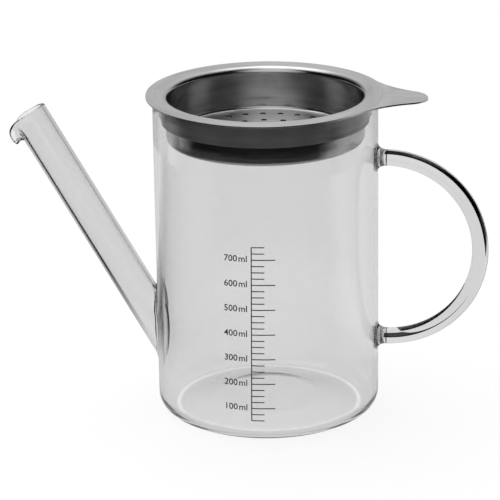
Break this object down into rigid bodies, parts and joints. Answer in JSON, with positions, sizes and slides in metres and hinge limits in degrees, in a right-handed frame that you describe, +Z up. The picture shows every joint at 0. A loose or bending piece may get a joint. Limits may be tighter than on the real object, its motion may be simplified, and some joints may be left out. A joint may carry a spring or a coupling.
{
  "type": "gravy fat separator",
  "caption": "Clear glass jug with a slanted spout rising from low in its wall, a rod handle, and a lift-out perforated steel strainer seated on a silicone ring.",
  "frame": {"origin": "on the table, on the jug's axis, at the centre of the foot ring", "axes": "+Z up along the jug's axis; +X from the spout to the handle; +Y completes the right-handed set"},
  "size_m": [0.2276, 0.1122, 0.1557],
  "materials": {
    "glass": "clear, fire-polished",
    "silicone": "satin",
    "steel": "brushed round the axis"
  },
  "bodies": {
    "jug": {"glass_beaker": "glass", "spout_tube": "glass", "spout_weld": "glass", "handle_rod": "glass", "handle_upper_weld": "glass", "handle_lower_weld": "glass"},
    "seal": {"seal_ring": "silicone"},
    "strainer": {"strainer": "steel"}
  },
  "joints": [
    {"name": "strainer_lift", "type": "slide", "parent": "jug", "child": "seal", "axis": [0, 0, 1], "range_m": [0, 0.06]},
    {"name": "strainer_turn", "type": "hinge", "parent": "seal", "child": "strainer", "pos_m": [0, 0, 0.1556], "axis": [0, 0, 1], "continuous": true}
  ]
}
